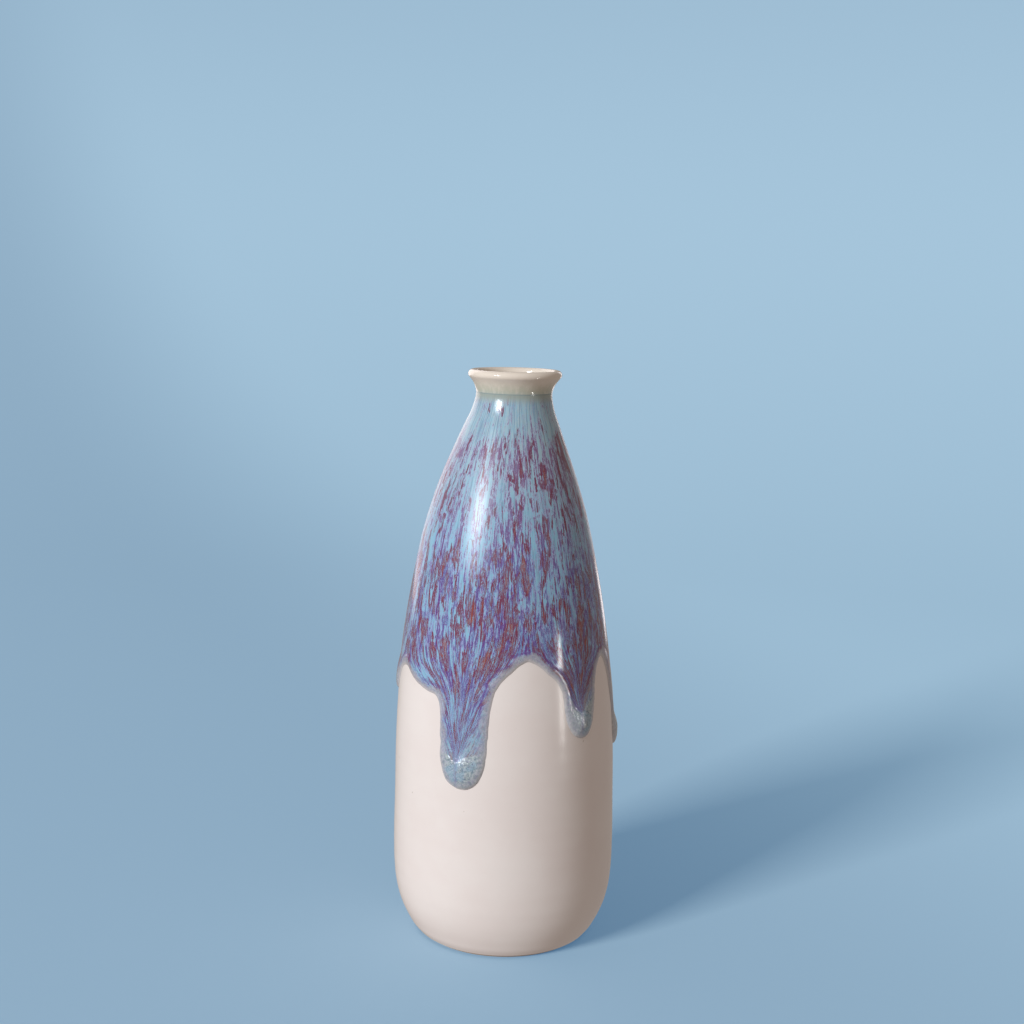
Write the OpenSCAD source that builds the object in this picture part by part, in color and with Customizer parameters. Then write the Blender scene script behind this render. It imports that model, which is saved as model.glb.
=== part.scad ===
// Glazed stoneware bud vase: a hollow clay bottle and the three glazes on it.
// Origin: centre of the foot, on the table. +Z is up. -Y is the front.

/* [Vase] */
// Height from the table to the top of the lip
vase_h = 180; // [160:1:200]
// Widest diameter of the belly, with its cream glaze
belly_d = 70.5; // [66:0.5:76]
// Outside diameter of the foot ring where it meets the table
foot_d = 54.8; // [50:0.2:60]
// Narrowest diameter of the neck, with its cream glaze
neck_d = 23.4; // [22:0.2:26]
// Outside diameter of the rolled lip
lip_d = 29; // [27:0.2:32]
// Radius of the roll of the lip
lip_roll = 1.4; // [1.2:0.1:1.8]

/* [Clay] */
// Thickness of the clay wall
wall_t = 3.2; // [2.4:0.1:4]
// Thickness of the clay floor
floor_t = 5; // [4:0.5:8]
// Diameter of the straight throat inside the neck, glazed
throat_d = 17; // [14:0.5:17.5]
// Length of the straight throat
throat_len = 7.5; // [5:0.5:8]
// Width of the foot ring
foot_ring_w = 5; // [4:0.5:8]
// Depth of the recess under the floor
recess_depth = 2.5; // [1:0.5:4]
// Radius of the curve between the floor and the wall inside
floor_round = 8; // [5:1:10]

/* [Glaze] */
// Thickness of the cream glaze and of the liner glaze
skin_t = 0.3; // [0.2:0.05:0.5]
// Height of the bare clay left above the table
bare_foot = 1; // [0.5:0.5:3]
// Height of the neck line below the top of the lip, where the liner glaze meets the drip glaze
lip_band = 6.8; // [6:0.1:8]
// Thickness of the drip glaze where it starts, under the lip
drip_top_t = 0.3; // [0.2:0.05:0.5]
// Thickness of the drip glaze above its runs
drip_coat_t = 0.45; // [0.4:0.05:1]
// Thickness of the drip glaze along its lower edge
drip_edge_t = 0.12; // [0.1:0.01:0.2]

/* [Hidden] */
$fn = 128;

belly_r = belly_d / 2;
foot_r = foot_d / 2;
neck_r = neck_d / 2;
lip_r = lip_d / 2;
throat_r = throat_d / 2;
neck_line_z = vase_h - lip_band;
lip_mid_z = vase_h - lip_roll;
lip_mid_r = lip_r - lip_roll;

// Outside of the glazed pot as [share of the height, share of the way from one radius to the next].
// From the foot's radius out to the belly's:
foot_side = [[0, 0], [0.012, 0.24], [0.03, 0.48], [0.055, 0.73], [0.085, 0.9], [0.12, 0.98], [0.16, 1]];
// From the neck's radius out to the belly's, read downwards from the widest level:
shoulder_side = [
    [0.16, 1], [0.25, 0.99], [0.35, 0.975], [0.45, 0.93], [0.55, 0.84], [0.65, 0.715],
    [0.74, 0.565], [0.82, 0.372], [0.865, 0.239], [0.905, 0.117], [0.935, 0.026], [0.955, 0]
];
// Flare from the neck to the underside of the lip, as [share of the height, share of the flare]:
lip_side = [[0.955, 0], [0.968, 0.126], [0.98, 0.492]];
// The lip's roll takes over from the flare at this angle below the horizontal
roll_start = -25;
lip_low_z = lip_mid_z + lip_roll * sin(roll_start);

// Key points of the outside, [height, radius]
side_keys = concat(
    [for (p = foot_side) [p[0] * vase_h, foot_r + p[1] * (belly_r - foot_r)]],
    [for (i = [1:len(shoulder_side) - 1])
        [shoulder_side[i][0] * vase_h, neck_r + shoulder_side[i][1] * (belly_r - neck_r)]],
    [for (i = [1:len(lip_side) - 1])
        [lip_side[i][0] * vase_h, neck_r + lip_side[i][1] * (lip_r - neck_r)]],
    [[lip_low_z, lip_mid_r + lip_roll * cos(roll_start)]]
);

// Steps from 0 to 1 with level ends, and the value a share of the way from a to b
function ease(u) = u * u * (3 - 2 * u);
function blend(a, b, u) = a + (b - a) * u;

// Slope of a smooth curve through the keys, at key i
function secant(k, i) = (k[i + 1][1] - k[i][1]) / (k[i + 1][0] - k[i][0]);
function key_slope(k, i) =
    i == 0 ? secant(k, 0) :
    i == len(k) - 1 ? secant(k, i - 1) :
    let (before = k[i][0] - k[i - 1][0], after = k[i + 1][0] - k[i][0])
    (secant(k, i - 1) * after + secant(k, i) * before) / (before + after);

// Value at x of the smooth curve through the keys [x, value]
function key_before(k, x, i = 0) = i >= len(k) - 2 || x < k[i + 1][0] ? i : key_before(k, x, i + 1);
function smooth_at(k, x) =
    let (i = key_before(k, x), span = k[i + 1][0] - k[i][0], u = (x - k[i][0]) / span)
    (1 + 2 * u) * (1 - u) * (1 - u) * k[i][1] + u * u * (3 - 2 * u) * k[i + 1][1]
    + span * (u * (1 - u) * (1 - u) * key_slope(k, i) - u * u * (1 - u) * key_slope(k, i + 1));

// Radius and slope of the cream-glazed outside at a height
function side_r(z) = smooth_at(side_keys, z);
slope_step = 0.2;
function side_slope(z) =
    let (low = max(z - slope_step, 0), high = min(z + slope_step, lip_low_z))
    (side_r(high) - side_r(low)) / (high - low);

// Radius of a surface that lies a depth below the outside, measured square to it
function inset_r(z, depth) = side_r(z) - depth * sqrt(1 + side_slope(z) * side_slope(z));

// Heights at which the outside is sampled between two levels, closer together round the neck
body_step = 2;
neck_step = 0.6;
neck_zone_z = 0.91 * vase_h;
function steps(low, high, step) =
    let (n = max(1, ceil((high - low) / step - 0.001))) [for (i = [0:n]) blend(low, high, i / n)];
function levels(low, high) =
    low >= neck_zone_z ? steps(low, high, neck_step) :
    high <= neck_zone_z ? steps(low, high, body_step) :
    concat(
        steps(low, neck_zone_z, body_step),
        [for (z = steps(neck_zone_z, high, neck_step)) if (z > neck_zone_z) z]
    );

// Outside of the pot between two heights, a depth below the glaze, as [radius, height]
function side_points(low, high, depth) = [for (z = levels(low, high)) [inset_r(z, depth), z]];

// The lip's roll, from its outside over the top to its inside, as [radius, height]
roll_steps = 12;
function roll_points(depth) = [for (i = [0:roll_steps])
    let (a = roll_start + (180 - roll_start) * i / roll_steps)
    [lip_mid_r + (lip_roll - depth) * cos(a), lip_mid_z + (lip_roll - depth) * sin(a)]];

// Inside of the pot, a depth behind the liner glaze, from the lip down to the centre of the floor
throat_top = neck_line_z + 0.3;
throat_low = throat_top - throat_len;
wall_total = wall_t + 2 * skin_t;
shoulder_z = 0.885 * vase_h;
floor_z = recess_depth + floor_t + skin_t;
flare_steps = 8;
throat_lead_steps = 6;
floor_steps = 8;
function inside_points(depth) =
    let (
        flare_r = lip_mid_r - lip_roll + depth,
        bore_r = throat_r + depth,
        shoulder_r = inset_r(shoulder_z, wall_total - depth),
        shoulder_lean = side_slope(shoulder_z) * (shoulder_z - throat_low),
        corner_z = floor_z + floor_round,
        corner_r = inset_r(corner_z, wall_total - depth) - floor_round,
        round_r = floor_round + depth
    )
    concat(
        [for (i = [1:flare_steps]) let (u = i / flare_steps)
            [blend(flare_r, bore_r, ease(u)), blend(lip_mid_z, throat_top, u)]],
        [for (i = [0:throat_lead_steps]) let (u = i / throat_lead_steps)
            [blend(bore_r, shoulder_r, ease(u)) - shoulder_lean * u * u * (1 - u),
             blend(throat_low, shoulder_z, u)]],
        [for (z = steps(shoulder_z, corner_z, -body_step)) if (z < shoulder_z)
            [inset_r(z, wall_total - depth), z]],
        [for (i = [1:floor_steps]) let (a = -90 * i / floor_steps)
            [corner_r - depth + round_r * cos(a), corner_z + round_r * sin(a)]],
        [[0, floor_z - depth]]
    );

// Underside of the foot, from its centre out to the glaze line
foot_edge = 0.6;
recess_lean = 1.2;
foot_points = [
    [0, recess_depth], [foot_r - foot_ring_w - recess_lean, recess_depth],
    [foot_r - foot_ring_w - foot_edge / 2, foot_edge / 2], [foot_r - foot_ring_w, 0],
    [foot_r - skin_t - foot_edge / 2, 0], [foot_r - skin_t, foot_edge / 2]
];

// Outside of the lip from the neck line, over the roll and down the inside, a depth below the glaze
function lip_and_inside(depth) = concat(
    side_points(neck_line_z, lip_low_z, depth),
    [for (i = [1:roll_steps]) roll_points(depth)[i]],
    inside_points(depth)
);

// A skin between an outline and the same outline one glaze thickness deeper
function backwards(list) = [for (i = [len(list) - 1:-1:0]) list[i]];
module skin(outside, behind) {
    rotate_extrude() polygon(concat(outside, backwards(behind)));
}

module clay_body() {
    side = side_points(bare_foot, neck_line_z, skin_t);
    color("tan") rotate_extrude()
        polygon(concat(foot_points, [for (p = side) if (p[1] < neck_line_z) p], lip_and_inside(skin_t)));
}

module liner_glaze() {
    color("wheat") skin(lip_and_inside(0), lip_and_inside(skin_t));
}

module cream_glaze() {
    color("linen") skin(
        side_points(bare_foot, neck_line_z, 0),
        side_points(bare_foot, neck_line_z, skin_t)
    );
}

// Lower edge of the drip glaze, once round the pot, as [degrees round from the front, height].
// Seven runs hang from it, with cream arches between them. The runs at the back are a free choice.
drip_edge = [
    [-64, 88.2], [-58, 86.2], [-52, 85], [-44, 83.8], [-38, 83.2], [-35.2, 80.5], [-34.5, 75], [-34, 69],
    [-33.2, 63], [-30.2, 58.6], [-26, 56.5], [-20.5, 55.8], [-15.5, 57], [-11.3, 60.2], [-9, 65],
    [-8.3, 71], [-7.4, 77.5], [-6, 83.5], [-2.6, 88.3], [3.4, 92], [8, 94.2], [13, 95.3], [18, 94],
    [24, 91.2], [29, 88.2], [32, 84], [33, 79], [35.2, 74.6], [38.5, 71.8], [43, 70.6], [47.5, 71.2],
    [51.3, 73.8], [53.8, 78.5], [55.6, 83.5], [58, 88.8], [61.5, 92], [66.5, 93.2], [70.5, 90.5], [74, 86],
    [77.5, 80.5], [80.5, 75], [82.5, 69], [84.8, 64.2], [89, 61.4], [94, 60.6], [99, 62], [102.4, 66],
    [104, 72], [105.5, 79], [108, 85], [113, 89.5], [119, 90.8], [125, 88.8], [129.5, 84.5], [132, 79],
    [134.2, 74.8], [138, 72.2], [142.5, 71.6], [147, 73], [150.2, 77], [152, 82.5], [155.5, 88], [161, 91.8],
    [167, 93], [173, 91], [177.5, 86], [180, 79], [181.4, 71.5], [182.8, 64.5], [185.6, 60], [190, 57.6],
    [195, 57.4], [199.8, 59.8], [202.8, 64.6], [204, 71], [205.2, 78], [207.6, 84], [212.5, 88.6],
    [219, 90.4], [225.5, 88.2], [229.5, 83.5], [231.6, 78], [234.4, 74], [238.6, 72], [243, 72.4],
    [247, 75.4], [249, 80.5], [252, 84.6], [256, 86], [260, 83.4], [263.6, 80], [268, 78.2], [273, 78.4],
    [277.6, 80.8], [281.6, 84.6], [286, 87.4], [291, 88.6]
];
// The runs, as [degrees round from the front, half width, height of the bead, thickness of the bead]
runs = [
    [-21, 7.8, 62, 1.9], [43.5, 6, 76, 1.7], [93.5, 6.6, 66, 2], [141.5, 5.6, 77, 1.6],
    [192.5, 7, 63, 1.9], [240.5, 5.2, 77, 1.6], [270, 5, 82, 1.5]
];
// Height at which the glaze starts to gather into runs
gather_z = 100;
// Room left behind the flat faces of the drip glaze, so that they clear the round pot
facet_room = 0.06;
// Levels of the drip glaze above the runs, and shares of the way from there to the edge below
drip_top_z = neck_line_z - 0.3;
drip_levels = concat([drip_top_z], steps(drip_top_z - 1, gather_z - 2, -8));
drip_shares = [0.3, 0.58, 0.8, 0.92, 0.97, 1];
drip_rows = len(drip_levels) + len(drip_shares);
drip_cols = len(drip_edge);

function drip_z(c, row) =
    row < len(drip_levels) ? drip_levels[row] :
    blend(drip_levels[len(drip_levels) - 1], drip_edge[c][1], drip_shares[row - len(drip_levels)]);

// Thickness that one run adds at an angle and a height
function turn_between(a, b) = let (d = (a - b + 540) % 360) abs(d - 180);
function run_swell(run, a, z) =
    let (
        across = turn_between(a, run[0]) * PI / 180 * belly_r / run[1],
        along = min(1, max(0, (gather_z - z) / (gather_z - run[2])))
    )
    max(0, 1 - across * across) * along * ease(along) * (run[3] - drip_coat_t);
function drip_swell(a, z) = max([for (run = runs) run_swell(run, a, z)]);
function drip_body_t(z) =
    blend(drip_coat_t, drip_top_t, ease(min(1, max(0, (z - gather_z) / (neck_line_z - gather_z)))));
// The coat thins out to its edges over its first row and its last three
function row_share(row) =
    row == 0 || row == drip_rows - 1 ? 0 : row == drip_rows - 2 ? 0.62 : row == drip_rows - 3 ? 0.9 : 1;
function drip_t(c, row) =
    let (z = drip_z(c, row), a = drip_edge[c][0])
    blend(drip_edge_t, drip_body_t(z) + drip_swell(a, z), row_share(row));

// Radius that a corner of the flat-faced inside needs, so that its faces stay outside the pot
function gap_after(c) = (drip_edge[(c + 1) % drip_cols][0] - drip_edge[c][0] + 360) % 360;
function widest_gap(c) = max(gap_after(c), gap_after((c + drip_cols - 1) % drip_cols));
function back_r(c, z) = side_r(z) / cos(widest_gap(c) / 2) + facet_room;
function round_at(a, r, z) = [r * sin(a), -r * cos(a), z];

module drip_glaze() {
    front = [for (row = [0:drip_rows - 1], c = [0:drip_cols - 1])
        let (z = drip_z(c, row)) round_at(drip_edge[c][0], back_r(c, z) + drip_t(c, row), z)];
    back = [for (row = [0:drip_rows - 1], c = [0:drip_cols - 1])
        let (z = drip_z(c, row)) round_at(drip_edge[c][0], back_r(c, z), z)];
    last = len(front);
    low_row = (drip_rows - 1) * drip_cols;
    quads = concat(
        [for (row = [0:drip_rows - 2], c = [0:drip_cols - 1])
            let (i = row * drip_cols + c, j = row * drip_cols + (c + 1) % drip_cols)
            [i, j, j + drip_cols, i + drip_cols]],
        [for (row = [0:drip_rows - 2], c = [0:drip_cols - 1])
            let (i = last + row * drip_cols + c, j = last + row * drip_cols + (c + 1) % drip_cols)
            [j, i, i + drip_cols, j + drip_cols]],
        [for (c = [0:drip_cols - 1]) let (d = (c + 1) % drip_cols) [d, c, last + c, last + d]],
        [for (c = [0:drip_cols - 1]) let (i = low_row + c, j = low_row + (c + 1) % drip_cols)
            [i, j, last + j, last + i]]
    );
    color("slateblue") polyhedron(
        points = concat(front, back),
        faces = [for (q = quads, half = [0, 1]) half == 0 ? [q[0], q[1], q[2]] : [q[0], q[2], q[3]]],
        convexity = 6
    );
}

clay_body();
liner_glaze();
cream_glaze();
drip_glaze();
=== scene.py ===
"""Ceramic bud vase: the clay, its three glazes, and a plain studio round it.

Lengths are in millimetres while shapes are worked out, and in metres once they are meshes.
Azimuths are in degrees round the vase from its front, -Y, towards +X.
"""
import math

import bpy
import numpy as np
from mathutils import Matrix, Vector


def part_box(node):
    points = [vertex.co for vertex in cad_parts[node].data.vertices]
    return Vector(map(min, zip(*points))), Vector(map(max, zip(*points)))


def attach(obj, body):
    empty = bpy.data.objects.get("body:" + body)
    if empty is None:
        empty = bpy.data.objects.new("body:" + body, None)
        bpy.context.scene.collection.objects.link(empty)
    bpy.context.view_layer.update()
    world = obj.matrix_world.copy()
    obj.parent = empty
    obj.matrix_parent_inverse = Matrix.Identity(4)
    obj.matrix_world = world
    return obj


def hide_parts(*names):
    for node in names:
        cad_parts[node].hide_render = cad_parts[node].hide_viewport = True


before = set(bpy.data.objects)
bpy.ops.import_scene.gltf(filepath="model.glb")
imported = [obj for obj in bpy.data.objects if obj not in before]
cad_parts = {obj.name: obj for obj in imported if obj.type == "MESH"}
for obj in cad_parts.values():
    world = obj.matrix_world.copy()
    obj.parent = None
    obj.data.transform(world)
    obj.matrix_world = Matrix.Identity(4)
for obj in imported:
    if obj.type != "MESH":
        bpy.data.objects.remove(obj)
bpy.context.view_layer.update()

MM = 0.001


def box_mm(node):
    """Lowest and highest corner of a CAD node, in millimetres."""
    low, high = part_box(node)
    return np.array(low) / MM, np.array(high) / MM


VASE_H = box_mm("liner_glaze")[1][2]
BELLY_R = box_mm("cream_glaze")[1][0]
NECK_LINE_Z = box_mm("cream_glaze")[1][2]
DRIP_TOP_Z = box_mm("drip_glaze")[1][2]
TURN = 2 * math.pi * BELLY_R          # once round the belly


# ---------------------------------------------------------------- small helpers

def ease(u):
    """0 to 1 with level ends."""
    u = np.clip(u, 0, 1)
    return u * u * (3 - 2 * u)


def wave_noise(u, v, cell_u, cell_v, seed):
    """Smooth random waves between -1 and 1 that close up once round the vase."""
    across = max(2, round(TURN / cell_u))
    rows = 64
    table = np.random.RandomState(seed).uniform(-1, 1, (rows, across))
    a = u / TURN * across
    b = v / cell_v
    a0, b0 = np.floor(a).astype(int), np.floor(b).astype(int)
    fa, fb = ease(a - a0), ease(b - b0)
    corner = lambda i, j: table[(b0 + i) % rows, (a0 + j) % across]
    low = corner(0, 0) * (1 - fa) + corner(0, 1) * fa
    high = corner(1, 0) * (1 - fa) + corner(1, 1) * fa
    return low * (1 - fb) + high * fb


def placed(name, data):
    """A new object in the scene for a mesh, a light or a camera."""
    item = bpy.data.objects.new(name, data)
    bpy.context.scene.collection.objects.link(item)
    return item


def spun(line, columns):
    """Points of an outline, (radius, height), spun round the axis: a ring for each point of it."""
    angle = np.arange(columns) * 2 * math.pi / columns
    r, z = line[:, :1], line[:, 1:]
    return np.stack([r * np.cos(angle), r * np.sin(angle), z + 0 * angle], 2).reshape(-1, 3)


def ring_quads(low, high, columns):
    """Quads between two rings, from the number of the first point in each."""
    j = np.arange(columns)
    k = (j + 1) % columns
    return np.stack([low + j, low + k, high + k, high + j], 1).tolist()


# How far the hand-thrown pot's middle stands off its foot's, towards +X, as [height, offset]
LEAN = [[0, 0], [50, -0.36], [75, -0.74], [100, -1.1], [128, -1.3], [150, -1.12], [162, -0.68],
        [173, -0.05], [180, 0.1]]
LEAN_BLUR = 61         # its corners are rounded over this many quarters of a millimetre
OVAL = 0.0016          # how far from round the pot is, as a share of its radius
THREE_SIDED = 0.0009   # and how far towards three-sided
RING_DEPTH = 0.007     # faint spiral that the thrower's fingers leave
RING_PITCH = 5.2


def handmade(points):
    """Moves points of every piece alike, from the perfect turned shape to a thrown one."""
    x, y, z = points.T
    height, offset = np.array(LEAN, float).T
    fine = np.linspace(0, height[-1], 4 * int(height[-1]) + 1)
    rough = np.pad(np.interp(fine, height, offset), LEAN_BLUR // 2, "edge")
    gentle = np.convolve(rough, np.ones(LEAN_BLUR) / LEAN_BLUR, "valid")
    angle = np.arctan2(y, x)
    radius = np.hypot(x, y)
    oval = 1 + OVAL * np.cos(2 * angle + 0.6) + THREE_SIDED * np.cos(3 * angle + 2)
    ring = RING_DEPTH * np.sin(2 * math.pi * z / RING_PITCH + angle + 1.5 * np.sin(z / 23))
    radius = radius * oval + ring * ease(radius / 10)
    lean = np.interp(z, fine, gentle - gentle[0])
    return np.stack([radius * np.cos(angle) + lean, radius * np.sin(angle), z], 1)


def mesh_piece(name, points, faces, material, node, smooth_angle=40, **attributes):
    """A closed mesh that stands for a CAD node. attributes are kept on its points, for its material."""
    points = handmade(points) * MM
    lengths = np.array([len(f) for f in faces])
    corners = np.concatenate([np.asarray(f) for f in faces])
    first = np.concatenate([[0], np.cumsum(lengths)[:-1]])
    a, b, c = (points[corners[first + n]] for n in range(3))
    inside_out = np.einsum("ij,ij->i", a, np.cross(b, c)).sum() < 0
    if inside_out:
        faces = [f[::-1] for f in faces]
    mesh = bpy.data.meshes.new(name)
    mesh.from_pydata(points.tolist(), [], [list(map(int, f)) for f in faces])
    mesh.shade_smooth()
    mesh.set_sharp_from_angle(angle=math.radians(smooth_angle))
    for key, values in attributes.items():
        kind, slot = ("FLOAT_VECTOR", "vector") if values.ndim == 2 else ("FLOAT", "value")
        layer = mesh.attributes.new(key, kind, "POINT")
        layer.data.foreach_set(slot, np.ascontiguousarray(values, np.float32).ravel())
    mesh.materials.append(material)
    piece = placed(name, mesh)
    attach(piece, "root")
    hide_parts(node)
    return piece


# ---------------------------------------------------------------- turned pieces

ON_SEAM = 2e-6       # metres off the XZ plane that still count as on it
OFF_AXIS = 1e-6


def section(node):
    """Outline of a turned CAD node, (radius, height), read along its seam on the +X side, and whether
    the outline is a closed loop."""
    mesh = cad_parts[node].data
    spot = {
        v.index: (round(v.co.x / MM, 3), round(v.co.z / MM, 3))
        for v in mesh.vertices if abs(v.co.y) < ON_SEAM and v.co.x > OFF_AXIS
    }
    links = {}
    for edge in mesh.edges:
        a, b = (spot.get(i) for i in edge.vertices)
        if a and b and a != b:
            links.setdefault(a, set()).add(b)
            links.setdefault(b, set()).add(a)
    ends = [p for p in links if len(links[p]) == 1]
    line = [min(ends or links, key=lambda p: (p[1], p[0]))]
    seen = set(line)
    while True:
        ahead = sorted(p for p in links[line[-1]] if p not in seen)
        if not ahead:
            break
        line.append(ahead[0])
        seen.add(ahead[0])
    return np.array(line), not ends


CORNER = math.radians(35)      # sharper turns than this stay corners


def smoothed(line, closed, step):
    """A smooth curve through an outline's points that keeps the corners. step(point) is its spacing."""
    count = len(line)
    pairs = [(i, (i + 1) % count) for i in range(count if closed else count - 1)]
    way = {i: line[j] - line[i] for i, j in pairs}
    size = {i: np.hypot(*way[i]) for i in way}

    def heading(i, own):
        before = (i - 1) % count if closed or i else None
        if before not in way or i not in way:
            return way[own] / size[own]
        d0, d1 = way[before] / size[before], way[i] / size[i]
        if d0 @ d1 < math.cos(CORNER):
            return way[own] / size[own]
        mean = d0 * size[i] + d1 * size[before]
        return mean / np.hypot(*mean)

    out = []
    for i, j in pairs:
        steps = max(1, round(size[i] / step(line[i])))
        u = np.arange(steps)[:, None] / steps
        m0, m1 = heading(i, i) * size[i], heading(j, i) * size[i]
        out.append((1 + 2 * u) * (1 - u) ** 2 * line[i] + u * u * (3 - 2 * u) * line[j]
                   + u * (1 - u) ** 2 * m0 - u * u * (1 - u) * m1)
    if not closed:
        out.append(line[-1:])
    return np.concatenate(out)


def turned(name, node, material, columns, step):
    """A piece spun from its CAD node's outline, much finer than the CAD's own facets."""
    line, closed = section(node)
    line = smoothed(line, closed, step)
    points = spun(line, columns)
    faces = []
    for i in range(len(line) if closed else len(line) - 1):
        faces += ring_quads(i * columns, (i + 1) % len(line) * columns, columns)
    if not closed:                     # a fan of triangles closes each end
        j = np.arange(columns)
        k = (j + 1) % columns
        low, high = len(points), len(points) + 1
        last = (len(line) - 1) * columns
        points = np.vstack([points, [0, 0, line[0][1]], [0, 0, line[-1][1]]])
        faces += np.stack([k, j, 0 * j + low], 1).tolist()
        faces += np.stack([last + j, last + k, 0 * j + high], 1).tolist()
    return mesh_piece(name, points, faces, material, node)


# ---------------------------------------------------------------- the drip glaze

def outer_side():
    """Height and radius of the cream glaze's outside, with rising heights."""
    line, _ = section("cream_glaze")
    heights = np.unique(line[:, 1])
    radii = np.array([line[line[:, 1] == z, 0].max() for z in heights])
    fine = smoothed(np.stack([radii, heights], 1), False, lambda p: 0.25)
    return fine[:, 1], fine[:, 0]


SIDE_Z, SIDE_R = outer_side()


def on_side(around, z, depth=0.0):
    """Points on the glazed side. around is millimetres round the belly, depth stands out square to it."""
    r = np.interp(z, SIDE_Z, SIDE_R)
    slope = np.interp(z + 0.5, SIDE_Z, SIDE_R) - np.interp(z - 0.5, SIDE_Z, SIDE_R)
    tilt = np.arctan(-slope)
    r = r + depth * np.cos(tilt)
    angle = around / BELLY_R
    return np.stack([r * np.sin(angle), -r * np.cos(angle), z + depth * np.sin(tilt)], -1)


def lower_edge():
    """The drip glaze's lower edge from the CAD, (round the belly, height), smoothed, once round."""
    co = np.array([v.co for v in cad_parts["drip_glaze"].data.vertices]) / MM
    azimuth = np.round(np.degrees(np.arctan2(co[:, 0], -co[:, 1])) % 360, 1) % 360
    columns = np.unique(azimuth)
    heights = np.array([co[azimuth == a, 2].min() for a in columns])
    line = np.stack([np.radians(columns) * BELLY_R, heights], 1)
    ring = np.vstack([line[-2:] - [TURN, 0], line, line[:3] + [TURN, 0]])
    parts = 6
    u = np.arange(parts)[:, None] / parts
    out = []
    for i in range(len(line)):
        p0, p1, p2, p3 = ring[i + 1:i + 5]
        out.append(0.5 * (2 * p1 + (p2 - p0) * u + (2 * p0 - 5 * p1 + 4 * p2 - p3) * u ** 2
                          + (3 * p1 - p0 - 3 * p2 + p3) * u ** 3))
    return np.concatenate(out)


EDGE = lower_edge()


def turning_points(line):
    """Places round the edge of its tips (lowest) and of its arches (highest)."""
    z = line[:, 1]
    reach = 12                         # points to each side that a tip or an arch stands out from
    too_high = z.mean() + 4            # for a tip
    near = np.stack([np.roll(z, k) for k in range(-reach, reach + 1)])
    tips = line[(z <= near.min(0)) & (z < too_high)]
    arches = line[z >= near.max(0)]
    return tips, arches


TIPS, ARCHES = turning_points(EDGE)


def wrapped(distance):
    """A distance round the belly, taken the short way."""
    return (distance + TURN / 2) % TURN - TURN / 2


FIELD_TOP, FIELD_LOW = 126.0, 54.0     # the band of heights in which the edge's shape matters
CELL = 0.4
FIELD_COLS = 2 * round(TURN / CELL / 2)
FIELD_ROWS = round((FIELD_TOP - FIELD_LOW) / CELL) + 1
FIELD_S = np.arange(FIELD_COLS) * TURN / FIELD_COLS
FIELD_Z = np.linspace(FIELD_TOP, FIELD_LOW, FIELD_ROWS)
WOBBLE = 0.16        # how far the edge wanders in small waves, and in finer ones
FINE_WOBBLE = 0.09


def edge_distance():
    """Distance from the drip glaze's lower edge at each point of the field, negative below it."""
    s, z = np.meshgrid(FIELD_S, FIELD_Z)
    best = np.full(s.shape, np.inf)
    for a, b in zip(EDGE, np.roll(EDGE, -1, 0)):
        way = np.array([wrapped(b[0] - a[0]), b[1] - a[1]])
        ds, dz = wrapped(s - a[0]), z - a[1]
        t = np.clip((ds * way[0] + dz * way[1]) / (way @ way), 0, 1)
        best = np.minimum(best, (ds - t * way[0]) ** 2 + (dz - t * way[1]) ** 2)
    order = np.argsort(EDGE[:, 0] % TURN)
    height = np.interp(FIELD_S, EDGE[order, 0] % TURN, EDGE[order, 1], period=TURN)
    side = np.where(z > height, 1, -1)
    wobble = WOBBLE * wave_noise(s, z, 3.1, 3.3, 5) + FINE_WOBBLE * wave_noise(s, z, 1.3, 1.4, 6)
    return side * np.sqrt(best) + wobble


BEAD_UP = 8.6        # how far above a long run's tip its streaks come together
BEAD_ASIDE = 1.3     # how far to one side of the tip they do, one way and the other in turn
STREAK_REACH = 6.5   # how far above an arch the streaks start to part round it
RUN_HOLD = 30        # added to that below the arches, where the streaks' shift hardly fades
SHORT_RUN = 8        # up to this length a run's streaks come together straight above its tip
LONG_RUN = 24        # by about this length they come together BEAD_UP above it
FUNNEL = 0.75        # share of a run, from its bead up, over which the streaks draw together
HALF_LEAST = 3.8     # half width of a run, before what it gains from the room between its arches
HALF_GAIN = 0.22


def run_table():
    """Quantities of each run, as one array for each: its tip, the arches either side, its length, where
    its streaks meet, its half width, and how steeply its streaks draw together."""
    rows = []
    for number, (tip_s, tip_z) in enumerate(TIPS):
        left_s, left_z = ARCHES[((tip_s - ARCHES[:, 0]) % TURN).argmin()]
        right_s, right_z = ARCHES[((ARCHES[:, 0] - tip_s) % TURN).argmin()]
        arch_z = min(left_z, right_z)
        length = arch_z - tip_z
        side = BEAD_ASIDE if number % 2 else -BEAD_ASIDE
        meet_s = tip_s + side * ease((length - SHORT_RUN) / 10)
        meet_z = tip_z + BEAD_UP * min(1, length / LONG_RUN + 0.1)
        room = min((tip_s - left_s) % TURN, (right_s - tip_s) % TURN)
        half = HALF_GAIN * room + HALF_LEAST
        steep = FUNNEL * max(arch_z - meet_z, 1) / half
        rows.append({
            "tip_s": tip_s, "tip_z": tip_z, "left_s": left_s, "right_s": right_s, "arch_z": arch_z,
            "length": length, "meet_s": meet_s, "meet_z": meet_z, "half": half, "steep": steep,
        })
    return {key: np.array([row[key] for row in rows]) for key in rows[0]}


def at_nearest_run(runs, s, *keys):
    """Quantities of the run that is nearest to each point."""
    tips = runs["tip_s"].reshape((-1,) + (1,) * s.ndim)
    nearest = np.abs(wrapped(s[None] - tips)).argmin(0)
    return [runs[key][nearest] for key in keys]


RELAX = 1.93         # how far each sweep of relaxed() overshoots, which gets it there sooner
SWEEPS = 420


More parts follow.
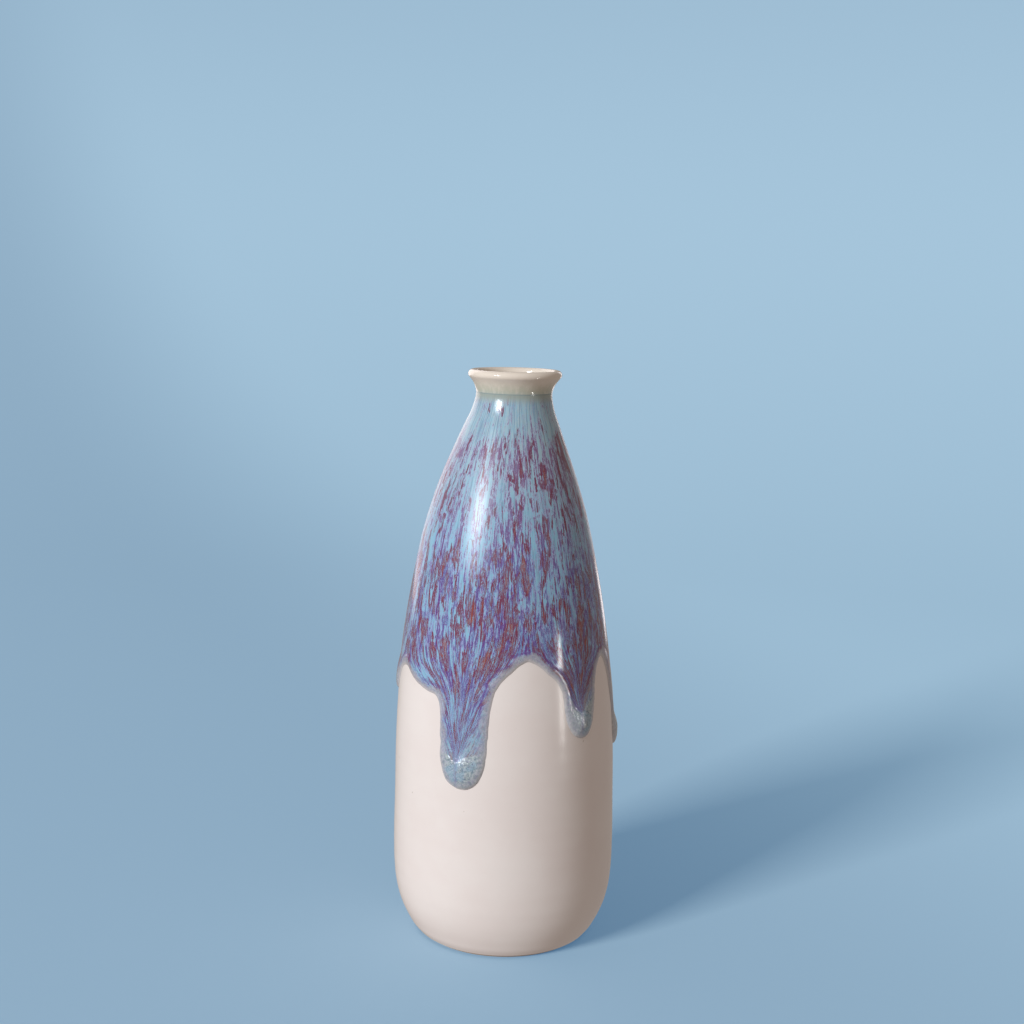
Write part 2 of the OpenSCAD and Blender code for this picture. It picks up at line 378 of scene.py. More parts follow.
def relaxed(shift, fixed, hold):
    """Fills in the smooth field between the fixed points. hold, under 1, draws it back to zero."""
    i, j = np.indices(shift.shape)
    for _ in range(SWEEPS):
        for parity in (0, 1):
            move = ~fixed & ((i + j) % 2 == parity)
            mean = (np.roll(shift, 1, 0) + np.roll(shift, -1, 0)
                    + np.roll(shift, 1, 1) + np.roll(shift, -1, 1)) / 4
            shift[move] += RELAX * (mean * hold - shift)[move]
    return shift


def flow_shift(distance, runs):
    """How far each point's streak has moved sideways since it left the shoulder.

    The glaze flows down between the arches and into the tips, so a streak follows a smooth field that is
    level with its arch along the edge and draws together towards the bead of each run."""
    s, z = np.meshgrid(FIELD_S, FIELD_Z)
    left_s, right_s, arch_z = at_nearest_run(runs, s, "left_s", "right_s", "arch_z")
    meet_s, meet_z, half, steep = at_nearest_run(runs, s, "meet_s", "meet_z", "half", "steep")
    off = wrapped(s - meet_s)
    target = np.where(off > 0, right_s, left_s)
    beside = np.abs(off) - np.clip(z - meet_z, 0, None) / steep
    flank = (beside > 0) & (np.abs(off) < half) & (z < arch_z)
    fixed = (distance <= 0) | (z < meet_z) | flank
    shift = np.where(fixed, wrapped(target - s), 0.0) + np.where(flank, np.sign(off) * beside, 0)
    fixed[0] = True
    reach = STREAK_REACH + RUN_HOLD * ease((3 - (z - arch_z)) / 6)
    return relaxed(shift, fixed, 1 / (1 + (CELL / reach) ** 2 / 4))


FLANK_SHARE = 0.5    # how much of the bead's grey there is beside the streaks that draw together


def bead_amount(runs):
    """1 in the grey beads at the ends of the runs, less beside the streaks above them, 0 in the coat."""
    s, z = np.meshgrid(FIELD_S, FIELD_Z)
    meet_s, meet_z, half, steep = at_nearest_run(runs, s, "meet_s", "meet_z", "half", "steep")
    off = np.abs(wrapped(s - meet_s))
    up = z - meet_z + 0.5 * wave_noise(s, z, 2, 2.5, 31)
    fan = ease((off - 0.2 - 1.6 * np.clip(up, 0, 30)) / 1.2 + 0.5)
    bead = fan * ease(0.5 + (3.6 - up + 2.4 * wave_noise(s, z, 2.6, 3.2, 37)) / 3)
    flank = ease((off - 0.3 - up / steep) / 1.8 + 0.5) * ease((steep * half + 2 - up) / 5)
    return np.maximum(bead, FLANK_SHARE * flank)


STEM_SWELL = 0.13    # how much a run swells on its way down, as a share of SWELL_T
STEM_DROP = 14       # how far below the arches it has done so
BEAD_SWELL = 0.8     # how much more it swells at its bead
BEAD_H = 13          # height of the bead
BEAD_SLOPE = 7.6     # how much of that is its slope up from the run


def run_swell(s, z, runs):
    """0 on the coat, a little down each run, and near 1 at its bead."""
    tip_s, tip_z, arch_z = at_nearest_run(runs, s, "tip_s", "tip_z", "arch_z")
    length, half = at_nearest_run(runs, s, "length", "half")
    across = np.clip(1 - (wrapped(s - tip_s) / half) ** 2, 0, 1) ** 1.4
    stem = STEM_SWELL * ease((arch_z - z) / STEM_DROP)
    bead = BEAD_SWELL * ease((BEAD_H - (z - tip_z)) / BEAD_SLOPE)
    return across * (stem + bead) * (0.5 + 0.5 * ease((length - 6) / 16))


COAT_T = 0.28        # thickness of the coat high on the shoulder
COAT_GAIN = 0.14     # what it gains by the time it reaches the runs
SWELL_T = 1.6        # what a full swell adds
EDGE_REACH = 1.9     # how far in from its edge the coat is at its full thickness
SWELL_REACH = 4.4    # how much farther in a swollen run
RIM_T = 0.17         # height of the rim that runs along the edge
RIM_IN = 2.2         # how far in from the edge its crest is
RIM_W = 1.1


def coat_thickness(s, z, distance, swell):
    """Thickness of the drip glaze: thin under the lip, a little heavier below, domed in the runs."""
    full = COAT_T + COAT_GAIN * ease((135 - z) / 40) + SWELL_T * swell
    reach = EDGE_REACH + SWELL_REACH * ease(1.4 * swell)
    inside = np.clip(distance / reach, 0, 1)
    rounded = np.sqrt(np.clip(1 - (1 - inside) ** 2, 0, 1))
    rim = RIM_T * np.exp(-(((distance - RIM_IN) / RIM_W) ** 2)) * (1 - 0.6 * ease(swell * 2))
    start = ease((DRIP_TOP_Z - z + 0.5) / 4)
    waves = 0.02 * wave_noise(s, z, 2.4, 11, 11) + 0.035 * wave_noise(s, z, 7, 16, 12)
    return (full + rim + waves * ease(distance / 2)) * rounded * start


def field_at(field, s, z):
    """A field's value at points between its rows and columns."""
    a = (s % TURN) / TURN * FIELD_COLS
    b = np.clip((FIELD_TOP - z) / CELL, 0, FIELD_ROWS - 1.001)
    a0, b0 = np.floor(a).astype(int), np.floor(b).astype(int)
    fa, fb = a - a0, b - b0
    pick = lambda i, j: field[b0 + i, (a0 + j) % FIELD_COLS]
    return ((pick(0, 0) * (1 - fa) + pick(0, 1) * fa) * (1 - fb)
            + (pick(1, 0) * (1 - fa) + pick(1, 1) * fa) * fb)


JOIN_Z = 101.2       # fine mesh below, coarser above
COARSE_STEP = 1.4
TOP_STEPS = np.array([0, 0.12, 0.3, 0.6])      # first rows below the coat's top, for its rounded edge
SNAP = 0.54          # share of a cell within which a point of the lattice is moved onto the outline


def snapped(s, z, d):
    """Moves the lattice's points that are nearest to the outline onto it. Also gives each point's state:
    -1 outside, 0 on the outline and 1 inside."""
    step = TURN / FIELD_COLS
    slope_s = (np.roll(d, -1, 1) - np.roll(d, 1, 1)) / (2 * step)
    slope_z = -np.gradient(d, CELL, axis=0)
    steep = slope_s ** 2 + slope_z ** 2 + 1e-9
    on_edge = np.abs(d) < SNAP * CELL * np.sqrt(steep)
    s = np.where(on_edge, s - d * slope_s / steep, s)
    z = np.where(on_edge, z - d * slope_z / steep, z)
    state = np.where(on_edge, 0, np.sign(d)).astype(int)
    return s, z, np.where(on_edge, 0, d), state


def coarse_faces(rows, base):
    """Faces of the coarse rows, and of the step down from them to the fine mesh, which starts at base."""
    columns = FIELD_COLS // 2
    j = np.arange(columns)
    k = (j + 1) % columns
    faces = []
    for i in range(rows - 1):
        a, b = i * columns, (i + 1) * columns
        faces += np.stack([a + j, b + j, b + k, a + k], 1).tolist()
    a = (rows - 1) * columns
    faces += np.stack([a + j, base + 2 * j, base + 2 * j + 1, a + k], 1).tolist()
    faces += np.stack([a + k, base + 2 * j + 1, base + (2 * j + 2) % FIELD_COLS], 1).tolist()
    return faces


def fine_faces(state, base):
    """Faces of the fine rows, down to the outline: quads, and triangles where one corner is outside."""
    j = np.arange(FIELD_COLS)
    k = (j + 1) % FIELD_COLS
    faces = []
    for i in range(len(state) - 1):
        a, b = i * FIELD_COLS, (i + 1) * FIELD_COLS
        quad = np.stack([a + j, b + j, b + k, a + k], 1)
        marks = state.ravel()[quad]
        outside = (marks < 0).sum(1)
        inside = (marks > 0).any(1)
        faces += (base + quad[(outside == 0) & inside]).tolist()
        for corners, mark in zip(quad[(outside == 1) & inside], marks[(outside == 1) & inside]):
            faces.append((base + corners[mark >= 0]).tolist())
    return faces


def drip_lattice(distance):
    """Lattice of the coat: round the belly, height, distance from the lower edge, whether a point is on
    the piece's rim, and the faces."""
    rows = np.flatnonzero(FIELD_Z <= JOIN_Z + 1e-6)
    s, z, d, state = snapped(*np.meshgrid(FIELD_S, FIELD_Z[rows]), distance[rows])
    top_z = np.linspace(DRIP_TOP_Z, z[0, 0], round((DRIP_TOP_Z - z[0, 0]) / COARSE_STEP) + 1)[:-1]
    top_z = np.concatenate([DRIP_TOP_Z - TOP_STEPS, top_z[1:]])
    coarse_s, coarse_z = np.meshgrid(FIELD_S[::2], top_z)
    coarse_d = field_at(distance, coarse_s, coarse_z)
    base = coarse_s.size
    on_rim = np.concatenate([np.zeros(base, bool), (state == 0).ravel()])
    on_rim[:FIELD_COLS // 2] = True
    faces = coarse_faces(len(top_z), base) + fine_faces(state, base)
    both = lambda coarse, fine: np.concatenate([coarse.ravel(), fine.ravel()])
    return both(coarse_s, s), both(coarse_z, z), both(coarse_d, d), on_rim, faces


BACK_GAP = 0.02      # room between the coat's back and the cream glaze


def drip_piece(material):
    """The whole reactive coat as one closed piece, with the streaks' paths stored on its points."""
    distance = edge_distance()
    runs = run_table()
    shift = flow_shift(distance, runs)
    bead = bead_amount(runs)
    s, z, d, on_rim, faces = drip_lattice(distance)
    used = np.unique(np.concatenate([np.asarray(f) for f in faces]))
    index = np.full(len(s), -1)
    index[used] = np.arange(len(used))
    s, z, d, on_rim = s[used], z[used], d[used], on_rim[used]
    faces = [index[np.asarray(f)] for f in faces]

    thickness = coat_thickness(s, z, d, run_swell(s, z, runs))
    front = on_side(s, z, np.where(on_rim, BACK_GAP, BACK_GAP + thickness))
    inner = np.flatnonzero(~on_rim)
    back = on_side(s[inner], z[inner], BACK_GAP)
    back_index = np.arange(len(s))     # front and back share the points of the rim
    back_index[inner] = len(s) + np.arange(len(inner))
    points = np.vstack([front, back])
    faces = faces + [back_index[f][::-1] for f in faces]

    path = s + np.where(z < FIELD_TOP, field_at(shift, s, z), 0)
    flow = np.stack([BELLY_R * np.sin(path / BELLY_R), -BELLY_R * np.cos(path / BELLY_R), z], 1)
    bead_here = np.where(z < FIELD_TOP, field_at(bead, s, z), 0)
    both = lambda values: np.concatenate([values, values[inner]])
    return mesh_piece("drip_coat", points, faces, material, "drip_glaze", smooth_angle=70,
                      flow=both(flow), edge=both(d), bead=both(bead_here))


# ---------------------------------------------------------------- materials

class Graph:
    """Node graph of one material, built in a few words."""

    def __init__(self, name):
        self.material = bpy.data.materials.new(name)
        self.material.use_nodes = True
        self.tree = self.material.node_tree
        self.shader = self.tree.nodes["Principled BSDF"]

    def add(self, kind, **settings):
        """A new node with its settings."""
        node = self.tree.nodes.new(kind)
        for key, value in settings.items():
            setattr(node, key, value)
        return node

    def put(self, socket, value):
        """Links a socket to another, or sets its number or colour."""
        if isinstance(value, bpy.types.NodeSocket):
            self.tree.links.new(value, socket)
        elif socket.type == "RGBA" and len(value) == 3:
            socket.default_value = (*value, 1)
        else:
            socket.default_value = value

    def feed(self, node, **inputs):
        """Puts a value in each named input of a node. _ stands for a space in its name."""
        for key, value in inputs.items():
            self.put(node.inputs[key.replace("_", " ")], value)
        return node

    def math(self, operation, a, b=0.0):
        """One step of arithmetic."""
        node = self.add("ShaderNodeMath", operation=operation)
        self.put(node.inputs[0], a)
        self.put(node.inputs[1], b)
        return node.outputs[0]

    def swings(self, value, *layers):
        """Adds to a value the swing of each (noise, amount) about the noise's middle."""
        for noise, amount in layers:
            swing = self.math("MULTIPLY", self.math("SUBTRACT", noise, 0.5), amount)
            value = self.math("ADD", value, swing)
        return value

    def gap(self, value, middle):
        """How far a value is from a middle."""
        return self.math("ABSOLUTE", self.math("SUBTRACT", value, middle))

    def span(self, value, low, high, start=0.0, end=1.0):
        """Maps low..high onto start..end, smoothly, and holds the ends."""
        node = self.add("ShaderNodeMapRange", interpolation_type="SMOOTHSTEP")
        self.feed(node, Value=value, From_Min=low, From_Max=high, To_Min=start, To_Max=end)
        return node.outputs["Result"]

    def stretch(self, vector, scale, move=(0, 0, 0)):
        """A vector scaled, then moved."""
        node = self.feed(self.add("ShaderNodeMapping"), Vector=vector, Scale=scale, Location=move)
        return node.outputs[0]

    def noise(self, vector, scale=1.0, detail=4.0, rough=0.55, warp=0.0):
        """Cloudy noise, mostly between 0.3 and 0.7."""
        node = self.add("ShaderNodeTexNoise")
        self.feed(node, Vector=vector, Scale=scale, Detail=detail, Roughness=rough, Distortion=warp)
        return node.outputs["Fac"]

    def ramp(self, value, *stops):
        """A colour from (place, colour) stops."""
        node = self.add("ShaderNodeValToRGB")
        self.put(node.inputs["Fac"], value)
        points = node.color_ramp.elements
        while len(points) < len(stops):
            points.new(0.5)
        for point, (place, colour) in zip(points, stops):
            point.position = place
            point.color = (*colour, 1)
        return node.outputs["Color"]

    def mix(self, share, a, b):
        """A blend of two colours or numbers. share is b's."""
        node = self.add("ShaderNodeMix", data_type="RGBA")
        self.put(node.inputs["Factor"], share)
        self.put(node.inputs[6], a)
        self.put(node.inputs[7], b)
        return node.outputs[2]

    def attribute(self, name):
        """What the mesh keeps on its points under a name, as a vector and as a number."""
        node = self.add("ShaderNodeAttribute", attribute_name=name)
        return node.outputs["Vector"], node.outputs["Fac"]

    def place(self):
        """Position on the object, in millimetres."""
        return self.stretch(self.add("ShaderNodeTexCoord").outputs["Object"], (1 / MM,) * 3)

    def axes(self):
        """X, Y and Z on the object, in millimetres."""
        return self.feed(self.add("ShaderNodeSeparateXYZ"), Vector=self.place()).outputs

    def height(self):
        """Height on the object, in millimetres."""
        return self.axes()["Z"]

    def bump(self, value, depth_mm):
        """A normal that shows a relief. depth_mm is its depth where the value goes from 0 to 1."""
        node = self.feed(self.add("ShaderNodeBump"), Strength=1, Distance=depth_mm * MM, Height=value)
        return node.outputs["Normal"]

    def finish(self, colour, rough, **inputs):
        """Fills in the shader and gives the material."""
        self.feed(self.shader, Base_Color=colour, Roughness=rough, **inputs)
        return self.material


# Colours of the drip glaze's coat, from light and thin to dark and heavy
SKY = (0.24, 0.46, 0.61)
CELADON = (0.37, 0.48, 0.54)          # the same high on the shoulder
PALE_CYAN = (0.27, 0.50, 0.62)
SLATE = (0.16, 0.25, 0.37)
PERIWINKLE = (0.36, 0.335, 0.59)
HAZE = (0.39, 0.41, 0.58)             # the same high on the shoulder
VIOLET = (0.13, 0.06, 0.25)
DUSK = (0.21, 0.105, 0.22)            # the same high on the shoulder
MAROON = (0.18, 0.038, 0.085)
RUST = (0.27, 0.07, 0.06)
BRIGHT_BLUE = (0.20, 0.47, 0.70)      # its hair-thin lines
MIST = (0.42, 0.50, 0.62)             # its fine flecks
NECK_GREY = (0.33, 0.37, 0.33)

# Colours of its beads and its border
BEAD_DARK = (0.13, 0.19, 0.25)
TEAL_GREY = (0.34, 0.42, 0.44)
BEAD_PALE = (0.50, 0.56, 0.58)
BEAD_BLUE = (0.25, 0.41, 0.53)
BEAD_GREEN = (0.37, 0.45, 0.44)
LILAC = (0.42, 0.40, 0.54)
PLUM = (0.14, 0.11, 0.20)
BORDER_GREY = (0.33, 0.38, 0.42)
BORDER_PALE = (0.48, 0.47, 0.53)
BORDER_PURPLE = (0.27, 0.19, 0.38)
FRINGE = (0.60, 0.56, 0.54)

NARROWED = 0.7      # width of the shoulder compared with the belly, for the streaks' scale

# How the glaze's load changes with height, and with X for the shade side term, as Graph.span takes it.
# That term is painted shade and light: the coat is darker towards +X, its shaded side, and lighter
# towards -X, its lit side
NECK_LOAD = (165, 155, 0.25, 0.5)
SHOULDER_LOAD = (152, 142, 0, -0.04)
BELLY_LOAD = (130, 114, 0, 0.1)
# painted shade and light: heavier, darker glaze towards the shaded +X side, lighter towards the lit -X
# side
SHADE_SIDE_LOAD = (-30, 30, -0.035, 0.07)
RUN_LOAD = (86, 80, 0, -0.035)
# The thin patch: where it fades in and out along X, then with height
PATCH_LEFT = (-2, 10)
PATCH_RIGHT = (34, 24)
PATCH_LOW = (102, 116)
PATCH_HIGH = (150, 142, 0, 0.08)


def drip_noises(g, height):
    """The noises that the drip glaze is painted with, by name."""
    flow, _ = g.attribute("flow")
    place = g.place()
    patchy = g.noise(place, scale=0.2, detail=2)
    upper = g.span(g.swings(height, (patchy, 60)), 139, 147)

    def streaky(fine, along, move=(0, 0, 0), **look):
        """Noise drawn out along the flow. It keeps its width where the vase narrows."""
        low = g.noise(g.stretch(flow, (fine, fine, along), move), **look)
        fine = fine * NARROWED
        return g.mix(upper, low, g.noise(g.stretch(flow, (fine, fine, along), move), **look))

    return {
        "mottle": streaky(1.5, 0.5, detail=5, rough=0.75, warp=0.6),
        "streaks": streaky(0.7, 0.15, (3, 9, 5), detail=4, rough=0.6, warp=0.8),
        "threads": streaky(2.0, 0.13, (11, 2, 6), detail=4, rough=0.65, warp=0.4),
        "patches": streaky(0.40, 0.12, (5, 4, 2), detail=3, rough=0.6, warp=0.6),
        "fibres": streaky(1.5, 0.09, (2, 6, 1), detail=2, rough=0.5, warp=0.3),
        "blotches": g.noise(g.stretch(flow, (0.24, 0.24, 0.085), (7, 3, 1)), detail=3, rough=0.5),
        "grain": g.noise(place, scale=2.6, detail=3, rough=0.7),
        "grit": g.noise(place, scale=1.2, detail=5, rough=0.75),
        "drift": g.noise(place, scale=0.22, detail=2),
    }


def drip_load(g, across, height):
    """How heavy the glaze lies: its broad bands, a thin patch to the +X side of the front, and painted
    shade that darkens the glaze towards +X and lightens it towards -X.
    """
    load = g.span(height, *NECK_LOAD)
    for band in (SHOULDER_LOAD, BELLY_LOAD, RUN_LOAD):
        load = g.math("ADD", load, g.span(height, *band))
    # painted shade and light: the load rises towards the shaded +X side and falls towards the lit -X side
    load = g.math("ADD", load, g.span(across, *SHADE_SIDE_LOAD))
    patch = g.math("MULTIPLY", g.span(across, *PATCH_LEFT), g.span(across, *PATCH_RIGHT))
    for fade in (PATCH_LOW, PATCH_HIGH):
        patch = g.math("MULTIPLY", patch, g.span(height, *fade))
    return g.math("SUBTRACT", load, patch)


def drip_streaks(g, noise, load, height):
    """Colour of the coat: light where it is thin, then periwinkle, violet, maroon and rust."""
    mottle, threads, blotches = noise["mottle"], noise["threads"], noise["blotches"]
    grain, fibres = noise["grain"], noise["fibres"]
    tone = g.swings(load, (mottle, 1.15), (noise["streaks"], 1.15), (blotches, 0.75),
                    (threads, 1.05), (grain, 0.42), (fibres, 0.35))
    light = g.mix(g.span(height, 128, 162), SKY, CELADON)
    light = g.mix(g.span(mottle, 0.40, 0.60, 0, 0.8), light, PALE_CYAN)
    light = g.mix(g.span(fibres, 0.48, 0.60, 0, 0.7), light, SLATE)
    high = g.span(height, 118, 150)
    colour = g.mix(g.span(tone, 0.39, 0.46), light, g.mix(high, PERIWINKLE, HAZE))
    colour = g.mix(g.span(tone, 0.475, 0.55), colour, g.mix(high, VIOLET, DUSK))

    heat = g.swings(load, (noise["patches"], 1.9), (mottle, 0.4), (threads, 0.6), (blotches, 0.4))
    colour = g.mix(g.span(heat, 0.56, 0.61), colour, MAROON)
    colour = g.mix(g.span(heat, 0.80, 0.88), colour, RUST)

    lines = g.span(g.gap(threads, 0.5), 0.03, 0.008)
    lines = g.math("MULTIPLY", lines, g.span(height, 150, 110, 0.35, 0.85))
    colour = g.mix(lines, colour, BRIGHT_BLUE)
    colour = g.mix(g.span(grain, 0.58, 0.70, 0, 0.5), colour, MIST)
    return g.mix(g.span(height, NECK_LINE_Z - 3.7, NECK_LINE_Z - 0.6, 0, 0.9), colour, NECK_GREY)


def drip_beads(g, noise):
    """Colour of the beads: mottled teal grey with lilac and plum grains."""
    grain, drift = noise["grain"], noise["drift"]
    colour = g.ramp(noise["grit"], (0.38, BEAD_DARK), (0.5, TEAL_GREY), (0.61, BEAD_PALE))
    colour = g.mix(g.span(drift, 0.5, 0.62, 0, 0.6), colour, BEAD_BLUE)
    colour = g.mix(g.span(drift, 0.46, 0.36, 0, 0.5), colour, BEAD_GREEN)
    colour = g.mix(g.span(grain, 0.54, 0.62, 0, 0.7), colour, LILAC)
    return g.mix(g.span(grain, 0.44, 0.37, 0, 0.75), colour, PLUM)


SEAM_IN = 3.1             # how far in from the edge the violet seam is
BORDER_W = 3.0
BORDER_FADE = (78, 86)    # heights between which the border and its fringe get stronger


def drip_border(g, noise, colour, edge, bead, height):
    """Adds the ragged grey border along the coat's lower edge, with a violet seam inside it and a pale
    fringe on it. It is fainter down in the runs."""
    ragged = g.swings(edge, (noise["drift"], 3.6), (noise["grit"], 3.6))
    seam = g.span(g.gap(ragged, SEAM_IN), 0.6, 0.1, 0, 0.5)
    seam = g.math("MULTIPLY", seam, g.math("SUBTRACT", 1.0, bead))
    colour = g.mix(seam, colour, VIOLET)
    border = g.mix(g.span(noise["grit"], 0.42, 0.58), BORDER_GREY, BORDER_PALE)
    border = g.mix(g.span(noise["grain"], 0.52, 0.6, 0, 0.7), border, BORDER_PURPLE)
    band = g.math("MULTIPLY", g.span(ragged, BORDER_W, 1.4), g.span(height, *BORDER_FADE, 0.6, 0.9))
    colour = g.mix(band, colour, border)
    fringe = g.math("MULTIPLY", g.span(edge, 1.3, 0.1), g.span(height, *BORDER_FADE, 0.45, 0.75))
    return g.mix(fringe, colour, FRINGE)


def drip_material():
    """Reactive glaze: blue broken by violet, maroon and rust streaks that follow the flow."""
    g = Graph("drip_glaze")
    _, edge = g.attribute("edge")
    _, bead = g.attribute("bead")
    across, _, height = g.axes()
    noise = drip_noises(g, height)
    colour = drip_streaks(g, noise, drip_load(g, across, height), height)
    colour = g.mix(bead, colour, drip_beads(g, noise))
    colour = drip_border(g, noise, colour, edge, bead, height)

    relief = g.math("MULTIPLY", g.math("ADD", noise["threads"], noise["mottle"]), 0.5)
    grainy = g.math("MULTIPLY", noise["grain"], g.span(height, 118, 106, 0, 0.5))
    relief = g.math("ADD", relief, grainy)
    pitted = g.math("MULTIPLY", g.math("ADD", noise["grit"], noise["grain"]), 3.0)
    relief = g.mix(bead, relief, pitted)
    rough = g.span(height, 152, 168, 0.33, 0.2)
    rough = g.math("SUBTRACT", rough, g.span(height, 126, 112, 0, 0.27))
    return g.finish(colour, rough, Normal=g.bump(relief, depth_mm=0.022))


CREAM = (0.79, 0.71, 0.68)
CREAM_PALE = (0.81, 0.74, 0.71)
SPECK = (0.34, 0.26, 0.2)
FINE_SPECK = (0.5, 0.42, 0.36)
CREAM_TOP = (0.27, 0.33, 0.33)        # what shows of it above the drip glaze


def cream_material():
    """Satin cream glaze with a few specks and pinholes. The drip glaze tints its top edge."""
    g = Graph("cream_glaze")
    place = g.place()
    cloud = g.noise(place, scale=0.05, detail=3)
    colour = g.mix(g.span(cloud, 0.35, 0.65), CREAM, CREAM_PALE)
    cells = g.feed(g.add("ShaderNodeTexVoronoi", feature="F1"), Vector=place, Scale=0.16)
    few = g.span(g.noise(place, scale=0.11, detail=1), 0.5, 0.6)
    spots = g.math("MULTIPLY", g.span(cells.outputs["Distance"], 0.055, 0.03), few)
    colour = g.mix(g.math("MULTIPLY", spots, 0.45), colour, SPECK)
    fine = g.noise(place, scale=2.2, detail=2)
    colour = g.mix(g.span(fine, 0.66, 0.78, 0, 0.16), colour, FINE_SPECK)
    colour = g.mix(g.span(g.height(), NECK_LINE_Z - 2.2, NECK_LINE_Z - 1.2), colour, CREAM_TOP)
    wave = g.noise(place, scale=0.45, detail=2)
    relief = g.math("SUBTRACT", g.math("MULTIPLY", wave, 0.6), g.math("MULTIPLY", spots, 0.5))
    return g.finish(colour, rough=0.2, Normal=g.bump(relief, depth_mm=0.012), Specular_IOR_Level=0.3)


LIP_BEIGE = (0.78, 0.69, 0.60)
LIP_GREEN = (0.50, 0.50, 0.41)
LIP_LOW = (0.40, 0.45, 0.42)          # right above the neck line
LIP_STREAK = (0.80, 0.72, 0.64)


def liner_material():
    """Glossy liner glaze: beige on the lip, grey-green where it runs thick above the neck line."""
    g = Graph("liner_glaze")
    place = g.place()
    drift = g.noise(place, scale=0.25, detail=3)
    level = g.swings(g.height(), (drift, 2.0))
    colour = g.mix(g.span(level, NECK_LINE_Z + 4.6, NECK_LINE_Z + 0.4), LIP_BEIGE, LIP_GREEN)
    colour = g.mix(g.span(level, NECK_LINE_Z + 1.3, NECK_LINE_Z - 0.5, 0, 0.8), colour, LIP_LOW)
    streak = g.noise(g.stretch(place, (0.9, 0.9, 0.3)), detail=3)
    colour = g.mix(g.span(streak, 0.45, 0.7, 0, 0.35), colour, LIP_STREAK)
    wave = g.noise(place, scale=0.5, detail=2)
    return g.finish(colour, rough=0.09, Normal=g.bump(wave, depth_mm=0.04))


CLAY_DARK = (0.30, 0.19, 0.11)
CLAY = (0.46, 0.32, 0.20)
CLAY_PALE = (0.56, 0.42, 0.29)


def clay_material():
    """Bare stoneware: tan, matt, with grains of sand and turning rings."""
    g = Graph("clay")
    place = g.place()
    grain = g.noise(place, scale=2.6, detail=4, rough=0.7)
    colour = g.ramp(grain, (0.3, CLAY_DARK), (0.5, CLAY), (0.7, CLAY_PALE))
    rings = g.add("ShaderNodeTexWave", wave_type="RINGS", rings_direction="Z")
    g.feed(rings, Vector=place, Scale=0.35, Distortion=1.2)
    relief = g.math("ADD", g.math("MULTIPLY", grain, 0.7), g.math("MULTIPLY", rings.outputs["Fac"], 0.5))
    return g.finish(colour, rough=0.85, Normal=g.bump(relief, depth_mm=0.12))


# ---------------------------------------------------------------- studio

PAPER = (0.42, 0.50, 0.52)
PAPER_GLOW = (0.0, 0.10, 0.23)             # keeps the paper blue in the vase's shadow
# painted light: the backdrop glows brighter behind the vase on the +X side, in place of the light that
# falls there
PAPER_GLOW_BEHIND = (0.08, 0.21, 0.35)     # behind the vase on the +X side, where more light falls
FLOOR_R = 600                              # the paper: its flat floor, its bend and its wall's top
BEND_R = 2600
WALL_TOP = 3200


def backdrop():
    """A pale blue seamless bowl: flat floor under the vase, rising all round far behind it.

    Only the camera sees it, so that it lends the glazes no colour and shades nothing."""
    g = Graph("backdrop")
    across, depth, height = g.axes()
    # painted light: the glow grows towards +X and behind the vase, and fades higher up the wall
    side = g.math("ADD", across, g.math("MULTIPLY", depth, 0.5))
    side = g.math("MULTIPLY", g.span(side, 0, 400), g.span(height, 900, 200, 0.35, 1))
    glow = g.mix(side, PAPER_GLOW, PAPER_GLOW_BEHIND)
    material = g.finish(PAPER, rough=0.9, Specular_IOR_Level=0, Emission_Color=glow, Emission_Strength=1)
    arc = np.linspace(0, math.pi / 2, 32)
    bend = [[FLOOR_R + BEND_R * math.sin(a), BEND_R - BEND_R * math.cos(a)] for a in arc]
    line = np.array([[0.001, 0], *bend, [FLOOR_R + BEND_R, WALL_TOP]]) * MM
    columns = 128
    faces = []
    for i in range(len(line) - 1):
        faces += ring_quads(i * columns, (i + 1) * columns, columns)
    mesh = bpy.data.meshes.new("backdrop")
    mesh.from_pydata(spun(line, columns).tolist(), [], faces)
    mesh.shade_smooth()
    mesh.materials.append(material)
    piece = placed("backdrop", mesh)
    piece.visible_diffuse = False
    piece.visible_glossy = False
    piece.visible_shadow = False


AIM = 0.55                                 # height of the lights' target, in vase heights


def softbox(name, azimuth, elevation, distance, width, height, glow, colour):
    """A light panel aimed at the middle of the vase. Sizes in metres. glow is its brightness."""
    light = bpy.data.lights.new(name, "AREA")
    light.shape = "RECTANGLE"
    light.size, light.size_y = width, height
    light.energy = glow * math.pi * width * height
    light.color = colour
    a, e = math.radians(azimuth), math.radians(elevation)
    way = Vector((math.sin(a) * math.cos(e), -math.cos(a) * math.cos(e), math.sin(e)))
    lamp = placed(name, light)
    lamp.location = Vector((0, 0, VASE_H * AIM * MM)) + way * distance
    lamp.rotation_euler = (-way).to_track_quat("-Z", "Y").to_euler()
    return lamp


SKYLIGHT = (1, 0.88, 0.80, 1)
SKYLIGHT_STRENGTH = 0.335


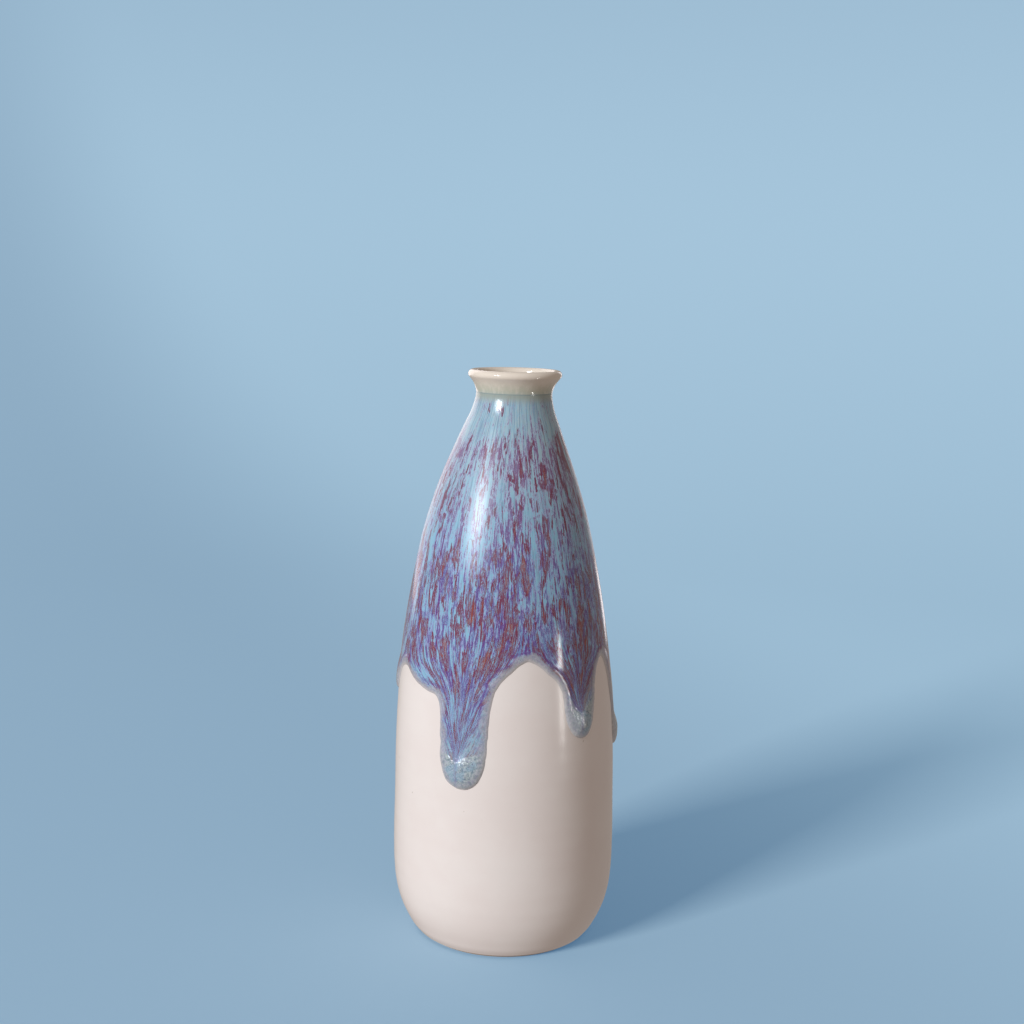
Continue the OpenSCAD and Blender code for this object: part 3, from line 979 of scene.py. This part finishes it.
def studio():
    """The backdrop, a key light from the front left, three cards that gleam in the glazes, and an even,
    warm fill."""
    backdrop()
    softbox("key", azimuth=-46, elevation=22, distance=8, width=2.0, height=1.4, glow=65,
            colour=(0.90, 0.955, 1))
    cards = [
        softbox("left_rim", azimuth=-148, elevation=22, distance=1.0, width=0.85, height=1.1, glow=1.45,
                colour=(1, 0.90, 0.92)),
        softbox("right_rim", azimuth=160, elevation=6, distance=1.6, width=0.3, height=1.0, glow=1.6,
                colour=(0.97, 0.92, 0.96)),
        softbox("strip", azimuth=58.5, elevation=-7, distance=0.28, width=0.011, height=0.09, glow=38.0,
                colour=(1, 0.97, 0.94)),
    ]
    for card in cards:        # they show as gleams in the glazes and light nothing
        card.visible_diffuse = False
    world = bpy.data.worlds.new("studio")
    world.use_nodes = True
    background = world.node_tree.nodes["Background"]
    background.inputs["Color"].default_value = SKYLIGHT
    background.inputs["Strength"].default_value = SKYLIGHT_STRENGTH
    bpy.context.scene.world = world
    view = bpy.context.scene.view_settings
    view.view_transform = "Standard"
    view.look = "None"


CAMERA_BACK = 2.5       # in vase heights
CAMERA_UP = 1.148       # the same
CAMERA_ASIDE = 0.1      # millimetres towards +X
CAMERA_PITCH = 8.99     # degrees down from level
CAMERA_ROLL = 1.42      # degrees
LENS = 51.05            # millimetres, on a 36 mm wide sensor


def camera():
    """In front of the vase, a little above the lip, looking slightly down and rolled a little."""
    data = bpy.data.cameras.new("camera")
    data.sensor_width = 36
    data.lens = LENS
    data.clip_start = 0.01
    data.clip_end = 20
    eye = placed("camera", data)
    eye.location = (CAMERA_ASIDE * MM, -CAMERA_BACK * VASE_H * MM, CAMERA_UP * VASE_H * MM)
    pitch = Matrix.Rotation(math.radians(90 - CAMERA_PITCH), 3, "X")
    roll = Matrix.Rotation(math.radians(CAMERA_ROLL), 3, "Z")
    eye.rotation_euler = (pitch @ roll).to_euler()
    bpy.context.scene.camera = eye


# ---------------------------------------------------------------- the object

SHOWS_BELOW = 98        # above this height the drip glaze hides nearly all of the cream glaze


def body_step(point):
    """Spacing of the clay's points, which hardly show."""
    return 2.0


def cream_step(point):
    """Spacing of the cream glaze's points: fine outside, where it shows, and coarse elsewhere."""
    outside = point[0] > np.interp(point[1], SIDE_Z, SIDE_R) - 0.1
    return 0.5 if outside and point[1] < SHOWS_BELOW else 2.0


def liner_step(point):
    """Spacing of the liner glaze's points: fine on the lip and in the mouth, coarse further down."""
    return 0.3 if point[1] > NECK_LINE_Z - 4 else 1.5


def build():
    """The vase's four pieces, each in its material slot."""
    turned("clay", "clay_body", clay_material(), 256, body_step)
    turned("inner_glaze", "liner_glaze", liner_material(), 192, liner_step)
    turned("cream_coat", "cream_glaze", cream_material(), 256, cream_step)
    drip_piece(drip_material())


camera()
studio()
build()
